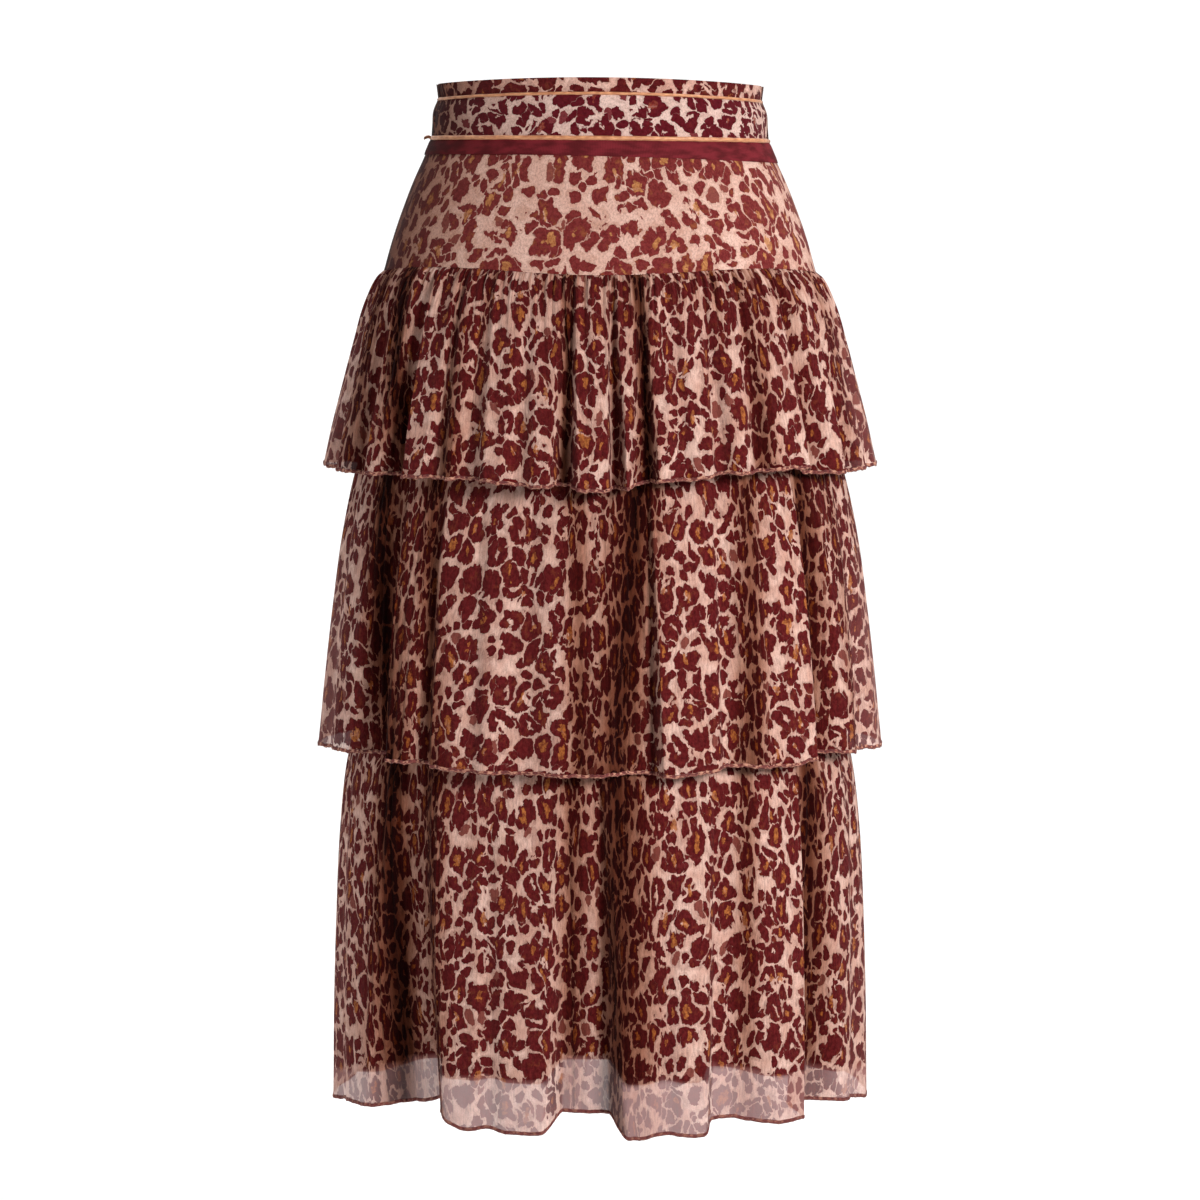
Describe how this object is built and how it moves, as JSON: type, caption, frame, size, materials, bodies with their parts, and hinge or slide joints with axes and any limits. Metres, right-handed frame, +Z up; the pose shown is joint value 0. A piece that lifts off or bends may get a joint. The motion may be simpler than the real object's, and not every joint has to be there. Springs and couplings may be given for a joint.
{
  "type": "tiered ruffle skirt",
  "caption": "Midi skirt with a smooth hip yoke, a contrast waistband between two satin pipings, a plain ribbon and three gathered ruffles in sheer spotted print.",
  "frame": {"origin": "centre of the waist opening, at half the height of the waistband, where the wearer's waist holds the skirt", "axes": "+Z up the body, -Y towards the front, +X towards the wearer's left side seam"},
  "size_m": [0.4456, 0.3582, 0.8054],
  "materials": {
    "print_chiffon": "matte crinkled sheer print",
    "contrast_print": "matte print",
    "copper_satin": "satin",
    "burgundy_ribbon": "ribbed",
    "lining": "matte print"
  },
  "bodies": {
    "root": {"heading_front": "print_chiffon", "heading_back": "print_chiffon", "piping_upper_front": "copper_satin", "piping_upper_back": "copper_satin", "waistband_front": "contrast_print", "waistband_back": "contrast_print", "piping_lower_front": "copper_satin", "piping_lower_back": "copper_satin", "ribbon_front": "burgundy_ribbon", "ribbon_back": "burgundy_ribbon", "yoke_front": "print_chiffon", "yoke_back": "print_chiffon", "lining_front": "lining", "lining_back": "lining", "tier1_front": "print_chiffon", "tier1_back": "print_chiffon", "tier2_front": "print_chiffon", "tier2_back": "print_chiffon", "tier3_front": "print_chiffon", "tier3_back": "print_chiffon"}
  },
  "joints": []
}
